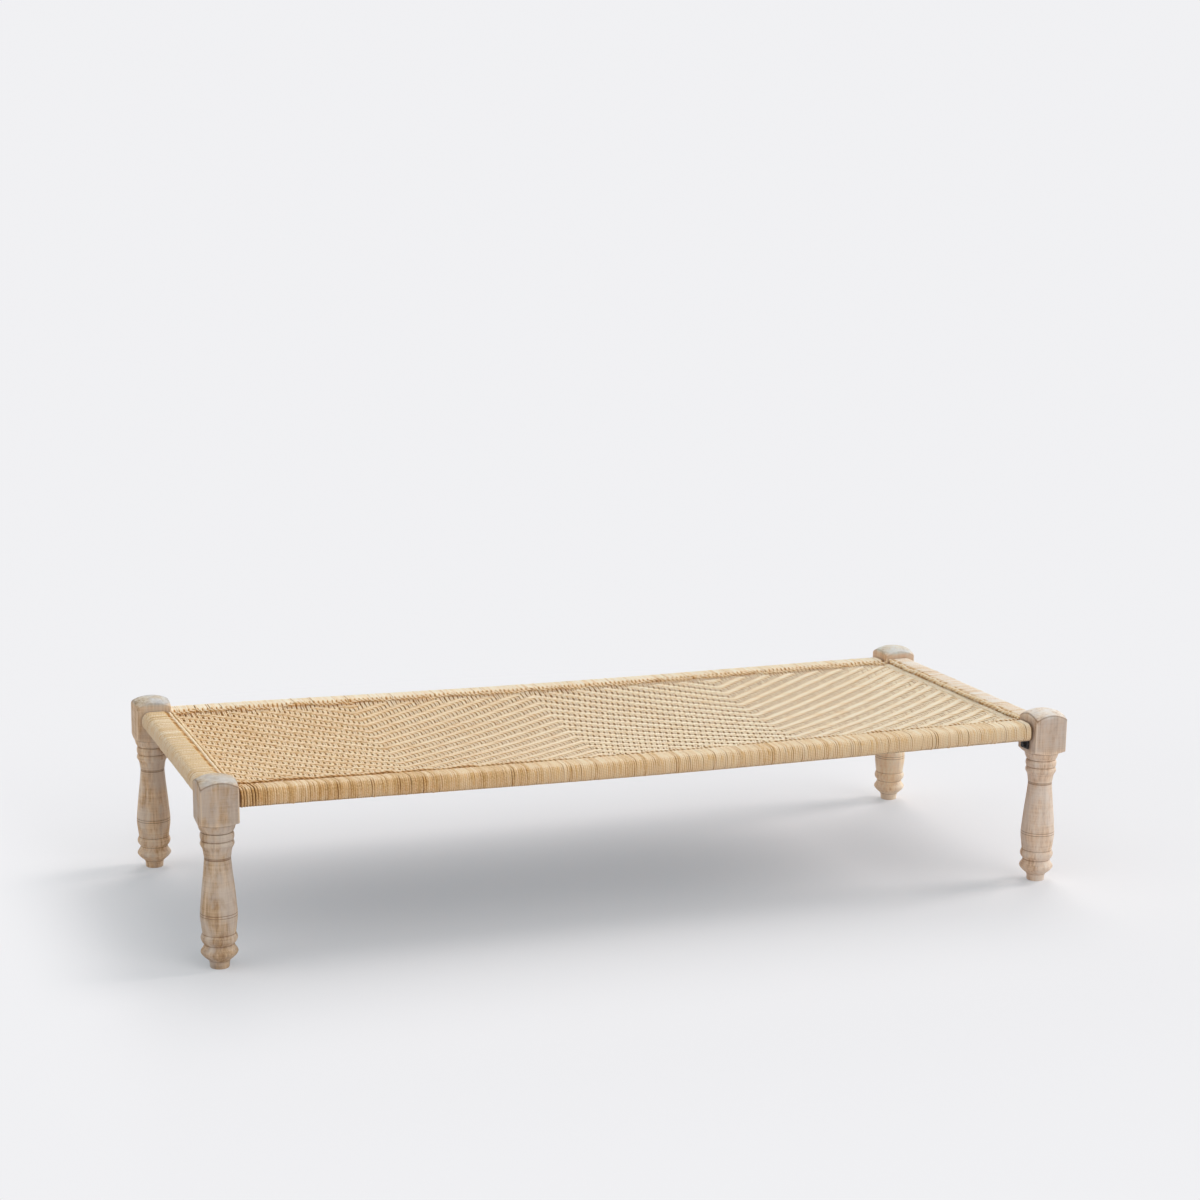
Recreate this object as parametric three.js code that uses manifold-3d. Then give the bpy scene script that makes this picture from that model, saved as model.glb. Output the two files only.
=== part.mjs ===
// A charpai: a low daybed on four turned legs. Four rails, tenoned into the square
// heads of the legs and closely wrapped in cord, carry a bed of woven cord.
// Millimetres, +Z up. The origin is on the floor under the middle of the bed,
// +X runs along the bed and -Y is its front.
import * as THREE from 'three';
import { mergeVertices } from 'three/addons/utils/BufferGeometryUtils.js';
import Module from 'manifold-3d';

const wasm = await Module();
wasm.setup();

// Overall sizes
const bedLength = 1900;
const bedWidth = 784;
const legHeight = 387;

// Fits
const clearance = 0.3;
const overrun = 1;

// Leg: a square head above a turned shaft
const headSide = 76;
const headHeight = 95.5;
const headEdgeRadius = 4;
const domeDrop = 18.5;
const domePower = 2.5;
const shoulderRise = 5.5;
const turnedRadius = 36.7;
const legSides = 24;

// The turning from the floor up, one row of points for each turned member between two
// creases: share of the shaft's height, share of its widest radius
const turningShares = [
  [[0, 0.5], [0.007, 0.52], [0.03, 0.53], [0.052, 0.57]],
  [[0.052, 0.57], [0.082, 0.85], [0.113, 1], [0.143, 0.86], [0.165, 0.79]],
  [[0.165, 0.79], [0.187, 0.93], [0.211, 0.98], [0.231, 0.93], [0.24, 0.89]],
  [[0.24, 0.89], [0.3, 0.95], [0.365, 1], [0.45, 0.955], [0.56, 0.87], [0.67, 0.77], [0.762, 0.71]],
  [[0.762, 0.71], [0.823, 0.78], [0.845, 0.86], [0.86, 0.91], [0.887, 0.84]],
  [[0.887, 0.84], [0.9, 0.89], [0.92, 0.9], [0.943, 0.82]],
  [[0.943, 0.82], [0.97, 0.96], [1, 1.02]],
];
const stepsPerMember = 4;
const domeSteps = 5;

// Rails: the wood inside the wraps, and the tenons on its ends
const railBelowHead = 46;
const railSetIn = 3;
const coreWidth = 52;
const coreHeight = 32;
const coreEdgeRadius = 6;
const tenonWidth = 30;
const tenonHeight = 13;
const tenonLength = 56;
const tenonsApart = 4;
const longRailDrop = 6;
const longRailSteps = 8;

// Wraps of close cord turns round the rails
const wrapWidth = 61;
const wrapHeight = 40;
const wrapEdgeRadius = 16;

// Woven bed, two layers of cord
const bedThickness = 9;
const bedBelowWrapTop = 11;
const bedSag = 12;
const bedStepsLong = 16;
const bedStepsWide = 8;

// Cords laid along the edges of the weave
const edgeCordRadius = 5;
const edgeCordSides = 8;
const longCordSteps = 16;
const shortCordSteps = 4;

// Steel angle brackets between the legs and the long rails
const plateThickness = 3;
const bracketWidth = 30;
const bracketDrop = 23.5;
const bracketLength = 42;

// Hexagon bolt from each bracket into the leg
const boltDrop = 16.5;
const boltRadius = 3;
const boltLength = 40;
const boltHeadRadius = 5.8;
const boltHeadHeight = 4.5;
const boltSides = 12;
const boltHeadSides = 6;

// Countersunk screws from each bracket up into the rail
const screwRadius = 2;
const screwLength = 24;
const screwTip = 5;
const screwHeadRadius = 4;
const screwHeadDepth = 2.2;
const screwInset = 14;
const screwSpacing = 17;
const screwSides = 12;
const screwsPerBracket = 2;

// Places worked out from the sizes above
const legX = (bedLength - headSide) / 2;
const legY = (bedWidth - headSide) / 2;
const shaftHeight = legHeight - headHeight;
const headReach = headSide / Math.SQRT2;
const railX = legX - railSetIn;
const railY = legY - railSetIn;
const railZ = legHeight - railBelowHead;
const longSpan = 2 * legX - headSide;
const shortSpan = 2 * legY - headSide;
const coreUnderside = railZ - coreHeight / 2;
const wrapInnerX = railX - wrapWidth / 2;
const wrapInnerY = railY - wrapWidth / 2;
const wrapTop = railZ + wrapHeight / 2;
const bedTop = wrapTop - bedBelowWrapTop;
const tenonLift = (tenonHeight + tenonsApart) / 2;
const longTenonZ = -tenonLift;
const shortTenonZ = tenonLift;

// Where an edge cord touches both the bed and the rounded shoulder of a wrap
const cordZ = bedTop + clearance + edgeCordRadius;
const cordAboveCorner = cordZ - (wrapTop - wrapEdgeRadius);
const cordToCorner = wrapEdgeRadius + edgeCordRadius + clearance;
const cordSetBack = Math.sqrt(cordToCorner ** 2 - cordAboveCorner ** 2) - wrapEdgeRadius;
const cordX = wrapInnerX - cordSetBack;
const cordY = wrapInnerY - cordSetBack;
const headingCordX = cordX - 2 * edgeCordRadius - clearance;

// Materials
const wood = new THREE.MeshStandardMaterial({ color: 0xb9a48f, roughness: 0.75, metalness: 0 });
const railWood = new THREE.MeshStandardMaterial({ color: 0xa58b6c, roughness: 0.8, metalness: 0 });
const cord = new THREE.MeshStandardMaterial({ color: 0xd3bb8c, roughness: 0.9, metalness: 0 });
const steel = new THREE.MeshStandardMaterial({ color: 0x16171a, roughness: 0.45, metalness: 0.8 });

// A closed solid from a geometry: shared corners merged, empty triangles left out
function solidOf(geometry) {
  const plain = new THREE.BufferGeometry();
  plain.setAttribute('position', geometry.getAttribute('position'));
  plain.setIndex(geometry.getIndex());
  const merged = mergeVertices(plain);
  const corners = merged.getIndex().array;
  const triangles = [];
  for (let i = 0; i < corners.length; i += 3) {
    const [a, b, c] = [corners[i], corners[i + 1], corners[i + 2]];
    if (a !== b && b !== c && c !== a) triangles.push(a, b, c);
  }
  const vertProperties = new Float32Array(merged.getAttribute('position').array);
  return new wasm.Manifold(new wasm.Mesh({ numProp: 3, vertProperties, triVerts: new Uint32Array(triangles) }));
}

function geometryOf(solid) {
  const { vertProperties, triVerts } = solid.getMesh();
  const geometry = new THREE.BufferGeometry();
  geometry.setAttribute('position', new THREE.BufferAttribute(vertProperties, 3));
  geometry.setIndex(new THREE.BufferAttribute(triVerts, 1));
  const faceted = geometry.toNonIndexed();
  faceted.computeVertexNormals();
  return faceted;
}

function cut(body, tools) {
  return tools.reduce((left, tool) => left.subtract(tool), body);
}

function join(pieces) {
  return pieces.reduce((whole, next) => whole.add(next));
}

function box(low, high) {
  const geometry = new THREE.BoxGeometry(high[0] - low[0], high[1] - low[1], high[2] - low[2]);
  geometry.translate((low[0] + high[0]) / 2, (low[1] + high[1]) / 2, (low[2] + high[2]) / 2);
  return solidOf(geometry);
}

// A turned solid about Z from a profile of radius and height that starts and ends on the axis
function turned(profile, sides) {
  const geometry = new THREE.LatheGeometry(profile.map(([r, z]) => new THREE.Vector2(r, z)), sides);
  geometry.rotateX(Math.PI / 2);
  return solidOf(geometry);
}

// Corner points of a rectangle with rounded corners
function roundedRectangle(width, height, radius, cornerSteps) {
  const points = [];
  for (let corner = 0; corner < 4; corner += 1) {
    const right = corner === 0 || corner === 3 ? 1 : -1;
    const up = corner < 2 ? 1 : -1;
    for (let step = 0; step <= cornerSteps; step += 1) {
      const angle = (corner + step / cornerSteps) * Math.PI / 2;
      points.push(new THREE.Vector2(
        right * (width / 2 - radius) + radius * Math.cos(angle),
        up * (height / 2 - radius) + radius * Math.sin(angle),
      ));
    }
  }
  return points;
}

// A section drawn in Y and Z, drawn out along X and centred on the origin
function alongX(outer, hole, length, steps) {
  const shape = new THREE.Shape(outer.map((p) => new THREE.Vector2(-p.y, p.x)));
  if (hole) shape.holes.push(new THREE.Path(hole.map((p) => new THREE.Vector2(-p.y, p.x))));
  const geometry = new THREE.ExtrudeGeometry(shape, { depth: length, steps, bevelEnabled: false });
  geometry.rotateY(Math.PI / 2);
  geometry.translate(-length / 2, 0, 0);
  return geometry;
}

// How far a long rail has bowed down at x: level at both ends, most in the middle
function longRailBow(x) {
  const share = Math.min(1, Math.abs(2 * x / longSpan));
  return longRailDrop * (1 - share ** 2) ** 2;
}

// Lower every point of a geometry by a drop that depends on its place
function sink(geometry, dropAt) {
  const position = geometry.getAttribute('position');
  for (let i = 0; i < position.count; i += 1) {
    position.setZ(i, position.getZ(i) - dropAt(position.getX(i), position.getY(i)));
  }
  return geometry;
}

function mesh(name, solid, material, position, turn = 0) {
  const made = new THREE.Mesh(geometryOf(solid), material);
  made.name = name;
  made.position.set(...position);
  made.rotation.z = turn;
  return made;
}

// Leg: the turned shaft, its round shoulder and its domed top, squared by the head's four
// sides. inX and inY point from the leg to the middle of the bed.
function legSolid(inX, inY) {
  const profile = [[0, 0]];
  for (const shares of turningShares) {
    const curve = new THREE.SplineCurve(shares.map(([z, r]) => new THREE.Vector2(r * turnedRadius, z * shaftHeight)));
    const points = curve.getPoints(stepsPerMember).map((p) => [p.x, p.y]);
    profile.push(...(profile.length > 1 ? points.slice(1) : points));
  }
  const outside = headReach + overrun;
  profile.push([outside, shaftHeight + shoulderRise]);
  for (let step = domeSteps; step > 0; step -= 1) {
    const share = step / domeSteps;
    profile.push([share * outside, legHeight - domeDrop * share ** domePower]);
  }
  profile.push([0, legHeight]);

  const square = new THREE.ExtrudeGeometry(
    new THREE.Shape(roundedRectangle(headSide, headSide, headEdgeRadius, 3)),
    { depth: legHeight + 2 * overrun, bevelEnabled: false },
  );
  square.translate(0, 0, -overrun);
  const leg = turned(profile, legSides).intersect(solidOf(square));
  return cut(leg, [mortise('x', inX, inY), mortise('y', inX, inY), boltHole(inX, inY)]);
}

// Mortise in a leg for the tenon of the rail that runs along the axis named
function mortise(axis, inX, inY) {
  const near = headSide / 2 + overrun;
  const far = headSide / 2 - tenonLength - clearance;
  const wide = tenonWidth / 2 + clearance;
  const tall = tenonHeight / 2 + clearance;
  const z = railZ + (axis === 'x' ? longTenonZ : shortTenonZ);
  const side = railSetIn * (axis === 'x' ? inY : inX);
  const toward = axis === 'x' ? inX : inY;
  const reach = [toward * near, toward * far].sort((a, b) => a - b);
  const across = [side - wide, side + wide];
  const x = axis === 'x' ? reach : across;
  const y = axis === 'x' ? across : reach;
  return box([x[0], y[0], z - tall], [x[1], y[1], z + tall]);
}

function boltHole(inX, inY) {
  const depth = boltLength + clearance;
  const hole = new THREE.CylinderGeometry(boltRadius + clearance, boltRadius + clearance, depth + overrun, boltSides);
  hole.rotateZ(Math.PI / 2);
  hole.translate(inX * (headSide / 2 + (overrun - depth) / 2), inY * railSetIn, coreUnderside - boltDrop);
  return solidOf(hole);
}

// Rail wood: a rounded bar with a tenon on each end, lying along X
function railSolid(span, steps, dropAt, tenonZ) {
  const bar = alongX(
    roundedRectangle(coreWidth, coreHeight, coreEdgeRadius, 2),
    null, span - 2 * clearance, steps,
  );
  const tenon = (side) => {
    const ends = [side * (span / 2 - overrun - clearance), side * (span / 2 + tenonLength)].sort((a, b) => a - b);
    return box(
      [ends[0], -tenonWidth / 2, tenonZ - tenonHeight / 2],
      [ends[1], tenonWidth / 2, tenonZ + tenonHeight / 2],
    );
  };
  return join([solidOf(sink(bar, dropAt)), tenon(-1), tenon(1)]);
}

// Long rail: the bar with a housing and screw holes for a bracket at each end
function longRailSolid() {
  const wide = bracketWidth / 2 + clearance;
  const tools = [];
  for (const side of [-1, 1]) {
    const ends = [side * (longSpan / 2 + overrun), side * (longSpan / 2 - bracketLength - clearance)];
    ends.sort((a, b) => a - b);
    const underside = -coreHeight / 2;
    tools.push(box([ends[0], -wide, underside - overrun], [ends[1], wide, underside + plateThickness + clearance]));
    for (let i = 0; i < screwsPerBracket; i += 1) {
      tools.push(screwSolid(clearance).translate(side * (longSpan / 2 - screwPlace(i)), 0, underside));
    }
  }
  return cut(railSolid(longSpan, longRailSteps, longRailBow, longTenonZ), tools);
}

// Wrap: a sleeve of cord turns round a rail. Under the long rails it is open for the brackets.
function wrapSolid(span, steps, dropAt, overBracket) {
  const sleeve = solidOf(sink(alongX(
    roundedRectangle(wrapWidth, wrapHeight, wrapEdgeRadius, 4),
    roundedRectangle(coreWidth + 2 * clearance, coreHeight + 2 * clearance, coreEdgeRadius, 2),
    span - 2 * clearance, steps,
  ), dropAt));
  if (!overBracket) return sleeve;
  const wide = bracketWidth / 2 + clearance;
  const low = -wrapHeight / 2 - overrun;
  const tools = [-1, 1].map((side) => {
    const ends = [side * (span / 2 + overrun), side * (span / 2 - plateThickness - 2 * clearance)];
    ends.sort((a, b) => a - b);
    return box([ends[0], -wide, low], [ends[1], wide, -coreHeight / 2 + clearance]);
  });
  return cut(sleeve, tools);
}

// Bed: a thin woven slab that follows the bowed long rails and sags between all four rails
function bedDrop(x, y) {
  const alongShare = Math.max(0, 1 - (x / wrapInnerX) ** 2);
  const acrossShare = Math.max(0, 1 - (y / wrapInnerY) ** 2);
  return longRailBow(x) + bedSag * alongShare * acrossShare;
}

function bedSolid() {
  const long = 2 * (wrapInnerX - clearance);
  const wide = 2 * (wrapInnerY - clearance);
  const slab = new THREE.BoxGeometry(long, wide, bedThickness, bedStepsLong, bedStepsWide, 1);
  const bed = solidOf(sink(slab, bedDrop));
  const postX = longSpan / 2 - clearance;
  const postY = shortSpan / 2 - clearance;
  const tools = [];
  for (const sideX of [-1, 1]) {
    for (const sideY of [-1, 1]) {
      const x = [sideX * postX, sideX * (wrapInnerX + overrun)].sort((a, b) => a - b);
      const y = [sideY * postY, sideY * (wrapInnerY + overrun)].sort((a, b) => a - b);
      tools.push(box([x[0], y[0], -bedThickness], [x[1], y[1], bedThickness]));
    }
  }
  return cut(bed, tools);
}

// Edge cord: a round cord along X that follows the bed beneath it
function cordSolid(length, steps, dropAt) {
  const section = [];
  for (let i = 0; i < edgeCordSides; i += 1) {
    const angle = (i + 1 / 2) * 2 * Math.PI / edgeCordSides;
    section.push(new THREE.Vector2(edgeCordRadius * Math.cos(angle), edgeCordRadius * Math.sin(angle)));
  }
  return solidOf(sink(alongX(section, null, length, steps), dropAt));
}

// Bracket: its upright plate against the leg, its other plate let into the rail. The origin is
// where the leg's face meets the rail's underside, and +X points along the rail.
function bracketSolid() {
  const outline = [
    [clearance, -bracketDrop],
    [clearance + plateThickness, -bracketDrop],
    [clearance + plateThickness, 0],
    [bracketLength, 0],
    [bracketLength, plateThickness],
    [clearance, plateThickness],
  ];
  const shape = new THREE.Shape(outline.map(([x, z]) => new THREE.Vector2(x, z)));
  const plate = new THREE.ExtrudeGeometry(shape, { depth: bracketWidth, bevelEnabled: false });
  plate.rotateX(Math.PI / 2);
  plate.translate(0, bracketWidth / 2, 0);
  const hole = new THREE.CylinderGeometry(
    boltRadius + clearance, boltRadius + clearance, plateThickness + 2 * overrun, boltSides,
  );
  hole.rotateZ(Math.PI / 2);
  hole.translate(clearance + plateThickness / 2, 0, -boltDrop);
  const tools = [solidOf(hole)];
  for (let i = 0; i < screwsPerBracket; i += 1) {
    tools.push(screwSolid(clearance).translate(screwPlace(i), 0, 0));
  }
  return cut(solidOf(plate), tools);
}

// Bolt: a hexagon head against the bracket and a shank into the leg, along X
function boltSolid() {
  const seat = plateThickness + 2 * clearance;
  const head = new THREE.CylinderGeometry(boltHeadRadius, boltHeadRadius, boltHeadHeight, boltHeadSides);
  head.rotateZ(Math.PI / 2);
  head.translate(seat + boltHeadHeight / 2, 0, 0);
  const shankLength = boltLength + seat + overrun;
  const shank = new THREE.CylinderGeometry(boltRadius, boltRadius, shankLength, boltSides);
  shank.rotateZ(Math.PI / 2);
  shank.translate(seat + overrun - shankLength / 2, 0, 0);
  return join([solidOf(head), solidOf(shank)]);
}

// How far along the rail from the leg's face a bracket screw stands
function screwPlace(index) {
  return screwInset + index * screwSpacing;
}

// Countersunk screw pointing up from z = 0, or the hole for it with room all round
function screwSolid(room) {
  const under = room > 0 ? overrun : 0;
  return turned([
    [0, -under],
    [screwHeadRadius + room, -under],
    [screwHeadRadius + room, 0],
    [screwRadius + room, screwHeadDepth],
    [screwRadius + room, screwLength - screwTip],
    [0, screwLength + room],
  ].filter(([, z], i) => room > 0 || i !== 2), screwSides);
}

// Assembly
const charpai = new THREE.Group();
const level = () => 0;

const ends = [['left', -1], ['right', 1]];
const sides = [['front', -1], ['back', 1]];

for (const [sideName, atY] of sides) {
  for (const [endName, atX] of ends) {
    const corner = `${sideName}_${endName}`;
    charpai.add(mesh(`leg_${corner}`, legSolid(-atX, -atY), wood, [atX * legX, atY * legY, 0]));

    const turn = atX < 0 ? 0 : Math.PI;
    const face = atX * longSpan / 2;
    charpai.add(mesh(`bracket_${corner}`, bracketSolid(), steel, [face, atY * railY, coreUnderside], turn));
    charpai.add(mesh(
      `bracket_bolt_${corner}`, boltSolid(), steel, [face, atY * railY, coreUnderside - boltDrop], turn,
    ));
    for (let i = 0; i < screwsPerBracket; i += 1) {
      const x = face - atX * screwPlace(i);
      charpai.add(mesh(`bracket_screw_${corner}_${i + 1}`, screwSolid(0), steel, [x, atY * railY, coreUnderside]));
    }
  }
  const along = [0, atY * railY, railZ];
  charpai.add(mesh(`${sideName}_rail`, longRailSolid(), railWood, along));
  charpai.add(mesh(`${sideName}_rail_wrap`, wrapSolid(longSpan, longRailSteps, longRailBow, true), cord, along));
  charpai.add(mesh(
    `${sideName}_edge_cord`, cordSolid(longSpan - 2 * clearance, longCordSteps, longRailBow), cord,
    [0, atY * cordY, cordZ],
  ));
}

for (const [endName, atX] of ends) {
  const across = [atX * railX, 0, railZ];
  const turn = Math.PI / 2;
  const cordLength = 2 * (cordY - edgeCordRadius - clearance);
  charpai.add(mesh(`${endName}_rail`, railSolid(shortSpan, 1, level, shortTenonZ), railWood, across, turn));
  charpai.add(mesh(`${endName}_rail_wrap`, wrapSolid(shortSpan, 1, level, false), cord, across, turn));
  charpai.add(mesh(
    `${endName}_edge_cord`, cordSolid(cordLength, 1, level), cord, [atX * cordX, 0, cordZ], turn,
  ));
  charpai.add(mesh(
    `${endName}_heading_cord`, cordSolid(cordLength, shortCordSteps, (y) => bedDrop(headingCordX, y)), cord,
    [atX * headingCordX, 0, cordZ], turn,
  ));
}

charpai.add(mesh('woven_bed', bedSolid(), cord, [0, 0, bedTop - bedThickness / 2]));

export default charpai;
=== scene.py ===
import math
from collections import namedtuple

import bpy
import numpy as np
from mathutils import Matrix, Vector


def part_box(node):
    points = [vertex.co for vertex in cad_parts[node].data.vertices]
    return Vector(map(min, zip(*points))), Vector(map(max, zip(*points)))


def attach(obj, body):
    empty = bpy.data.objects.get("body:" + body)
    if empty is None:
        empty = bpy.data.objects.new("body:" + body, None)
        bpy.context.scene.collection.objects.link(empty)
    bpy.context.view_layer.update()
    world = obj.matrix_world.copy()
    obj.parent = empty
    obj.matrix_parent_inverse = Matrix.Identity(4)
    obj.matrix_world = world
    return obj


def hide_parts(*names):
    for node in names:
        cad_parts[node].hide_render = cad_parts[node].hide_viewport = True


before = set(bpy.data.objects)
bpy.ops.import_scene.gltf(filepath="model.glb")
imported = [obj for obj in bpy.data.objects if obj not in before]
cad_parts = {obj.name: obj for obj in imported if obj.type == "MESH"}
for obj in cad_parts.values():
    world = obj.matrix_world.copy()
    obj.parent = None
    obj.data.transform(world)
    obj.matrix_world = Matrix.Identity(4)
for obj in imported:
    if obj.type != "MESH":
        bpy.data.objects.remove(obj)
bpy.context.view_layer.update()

MM = 0.001
ALONG_X = np.array([1.0, 0, 0])
ALONG_Y = np.array([0, 1.0, 0])


def mm(*sizes):
    return tuple(size * MM for size in sizes)


# Camera, fitted to the photograph's 1200 by 1200 frame
CAMERA_PLACE = (-1.8092, -4.8312, 1.5877)
CAMERA_YAW = 20.597
CAMERA_PITCH = 10.673
CAMERA_ROLL = 0.677
CAMERA_LENS = 72.41
CAMERA_SENSOR = 36
CAMERA_REACH = 60


def add_object(name, data):
    made = bpy.data.objects.new(name, data)
    bpy.context.scene.collection.objects.link(made)
    return made


def make_camera():
    yaw, pitch, roll = (math.radians(a) for a in (CAMERA_YAW, CAMERA_PITCH, CAMERA_ROLL))
    ahead = Vector((math.sin(yaw) * math.cos(pitch), math.cos(yaw) * math.cos(pitch), -math.sin(pitch)))
    level = Vector((math.cos(yaw), -math.sin(yaw), 0))
    up = level.cross(ahead)
    right = math.cos(roll) * level + math.sin(roll) * up
    top = -math.sin(roll) * level + math.cos(roll) * up
    data = bpy.data.cameras.new("camera")
    data.lens = CAMERA_LENS
    data.sensor_width = CAMERA_SENSOR
    data.clip_end = CAMERA_REACH
    camera = add_object("camera", data)
    turn = Matrix((right, top, -ahead)).transposed().to_4x4()
    camera.matrix_world = Matrix.Translation(CAMERA_PLACE) @ turn
    bpy.context.scene.camera = camera


make_camera()

# Sizes read from the model
front_wrap_low, front_wrap_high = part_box("front_rail_wrap")
left_wrap_low, left_wrap_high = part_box("left_rail_wrap")
leg_low, leg_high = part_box("leg_front_left")

INNER_X = -left_wrap_high[0]
INNER_Y = -front_wrap_high[1]
WRAP_TOP = left_wrap_high[2]
LONG_SPAN = front_wrap_high[0] - front_wrap_low[0]
SHORT_SPAN = left_wrap_high[1] - left_wrap_low[1]
WRAP_WIDTH = left_wrap_high[0] - left_wrap_low[0]
WRAP_HEIGHT = WRAP_TOP - left_wrap_low[2]
RAIL_X = INNER_X + WRAP_WIDTH / 2
RAIL_Y = INNER_Y + WRAP_WIDTH / 2
RAIL_Z = (WRAP_TOP + left_wrap_low[2]) / 2
LEG_X = -(leg_low[0] + leg_high[0]) / 2
LEG_Y = -(leg_low[1] + leg_high[1]) / 2
LEG_HEIGHT = leg_high[2]
HEAD_SIDE = leg_high[0] - leg_low[0]

# Sizes that the model's boxes don't give
WRAP_RADIUS = 16 * MM
RAIL_BOW = 6 * MM
BED_SAG = 16 * MM
BED_BELOW_WRAP = 11 * MM
BED_THICKNESS = 9 * MM
BED_MIDDLE = WRAP_TOP - BED_BELOW_WRAP - BED_THICKNESS / 2


def rail_bow(x):
    share = np.minimum(1, np.abs(x) / (LONG_SPAN / 2))
    return RAIL_BOW * (1 - share**2) ** 2


def bed_drop(x, y):
    """How far the woven bed lies below its corners."""
    along = np.clip(1 - (x / INNER_X) ** 4, 0, 1)
    across = np.clip(1 - (y / INNER_Y) ** 2, 0, 1)
    return rail_bow(x) + BED_SAG * along * across


# Mesh building


def share_between(values, low, high):
    """How far the values have got from low to high, as shares."""
    return np.clip((values - low) / (high - low), 0, 1)


def ripple(count, length, seed):
    """Smooth random values of about unit size, that change over the length given."""
    draw = np.random.default_rng(seed)
    knots = draw.normal(size=int(count / length) + 4)
    at = np.arange(count) / length + 1
    low = at.astype(int)
    share = at - low
    share = share * share * (3 - 2 * share)
    return knots[low] * (1 - share) + knots[low + 1] * share


def build(name, points, faces, uv=None, values=None):
    """A mesh object from points, arrays of faces, and values by point."""
    mesh = bpy.data.meshes.new(name)
    corners = np.concatenate([f.ravel() for f in faces])
    sizes = np.concatenate([np.full(len(f), f.shape[1]) for f in faces])
    mesh.vertices.add(len(points))
    mesh.vertices.foreach_set("co", points.astype(np.float32).ravel())
    mesh.loops.add(len(corners))
    mesh.loops.foreach_set("vertex_index", corners.astype(np.int32))
    mesh.polygons.add(len(sizes))
    mesh.polygons.foreach_set("loop_start", (np.cumsum(sizes) - sizes).astype(np.int32))
    mesh.polygons.foreach_set("use_smooth", np.ones(len(sizes), bool))
    if uv is not None:
        layer = mesh.uv_layers.new(name="Lay")
        layer.data.foreach_set("uv", uv.astype(np.float32).ravel())
    mesh.update(calc_edges=True)
    mesh.validate()
    made = add_object(name, mesh)
    for key, data in (values or {}).items():
        set_value(made, key, data)
    return made


def set_value(piece, key, values):
    attributes = piece.data.attributes
    attribute = attributes.get(key) or attributes.new(key, "FLOAT", "POINT")
    attribute.data.foreach_set("value", np.asarray(values).astype(np.float32))


def read_value(piece, key):
    values = np.empty(len(piece.data.vertices))
    piece.data.attributes[key].data.foreach_get("value", values)
    return values


def vertex_places(piece):
    places = np.empty(len(piece.data.vertices) * 3)
    piece.data.vertices.foreach_get("co", places)
    return places.reshape(-1, 3)


def unit(v):
    return v / np.maximum(np.linalg.norm(v, axis=-1, keepdims=True), 1e-12)


def ring_quads(rings, sides):
    """Faces between rings of points."""
    ring = np.arange(rings - 1)[:, None] * sides
    here = np.arange(sides)[None, :]
    after = (here + 1) % sides
    above = ring + sides
    return np.stack([ring + here, ring + after, above + after, above + here], axis=-1).reshape(-1, 4)


def tube_faces(count, steps, sides):
    """Faces of closed tubes. A tube's two end points come after its rings."""
    here = np.arange(sides)
    after = (here + 1) % sides
    low_end = np.full(sides, steps * sides)
    last = (steps - 1) * sides
    parts = (
        ring_quads(steps, sides),
        np.stack([low_end, after, here], axis=-1),
        np.stack([low_end + 1, last + here, last + after], axis=-1),
    )
    offset = (np.arange(count) * (steps * sides + 2))[:, None, None]
    return [(part + offset).reshape(-1, part.shape[-1]) for part in parts]


def tube_uv(paths, sides):
    """Metres along a tube and the share of the way round it, at each corner of its faces."""
    lengths = np.linalg.norm(np.diff(paths, axis=1), axis=-1)
    run = np.concatenate([np.zeros((len(paths), 1)), np.cumsum(lengths, axis=1)], 1)
    near = run[:, :-1, None].repeat(sides, 2)
    far = run[:, 1:, None].repeat(sides, 2)
    turn = np.broadcast_to(np.arange(sides) / sides, near.shape)
    turn_on = turn + 1 / sides
    corners = ((near, turn), (near, turn_on), (far, turn_on), (far, turn))
    quads = np.stack([np.stack(corner, -1) for corner in corners], axis=3)
    caps = np.zeros((len(paths) * sides * 2, 3, 2))
    return np.concatenate([quads.reshape(-1, 2), caps.reshape(-1, 2)])


def tubes(name, paths, radius, sides, side_way, tones, flat=1.0):
    """Closed tubes along paths of one length, (tube, point, xyz). side_way is about square to them."""
    count, steps = paths.shape[:2]
    ahead = unit(np.gradient(paths, axis=1))
    side = unit(side_way - ahead * np.sum(side_way * ahead, axis=-1, keepdims=True))
    up = np.cross(ahead, side)
    angle = np.arange(sides) / sides * 2 * np.pi
    radius = np.broadcast_to(np.asarray(radius, float), (count, steps))[..., None, None]
    sideways = np.cos(angle)[:, None] * side[..., None, :]
    around = sideways + flat * np.sin(angle)[:, None] * up[..., None, :]
    rings = paths[..., None, :] + radius * around
    points = np.concatenate([rings.reshape(count, -1, 3), paths[:, :1], paths[:, -1:]], axis=1)
    tone = np.repeat(np.asarray(tones, float), steps * sides + 2)
    side_share = np.concatenate([np.tile(np.cos(angle) ** 4, steps), [1, 1]])
    values = {"tone": tone, "side": np.tile(side_share, count)}
    faces = tube_faces(count, steps, sides)
    return build(name, points.reshape(-1, 3), faces, tube_uv(paths, sides), values)


# Materials


def new_material(name):
    material = bpy.data.materials.new(name)
    material.use_nodes = True
    return material, material.node_tree, material.node_tree.nodes["Principled BSDF"]


def feed(tree, sockets, values):
    """Links inputs to other nodes' outputs, or sets them to values."""
    for socket, value in zip(sockets, values):
        if isinstance(value, bpy.types.NodeSocket):
            tree.links.new(value, socket)
        else:
            socket.default_value = (*value, 1) if socket.type == "RGBA" else value


def fill(tree, made, **settings):
    """Sets a node's properties, and its inputs by their names with _ for a space."""
    for key, value in settings.items():
        name = key.replace("_", " ")
        if name in made.inputs:
            feed(tree, [made.inputs[name]], [value])
        else:
            setattr(made, key, value)
    return made


def node(tree, kind, **settings):
    return fill(tree, tree.nodes.new(kind), **settings)


def object_place(tree):
    return node(tree, "ShaderNodeTexCoord").outputs["Object"]


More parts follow.
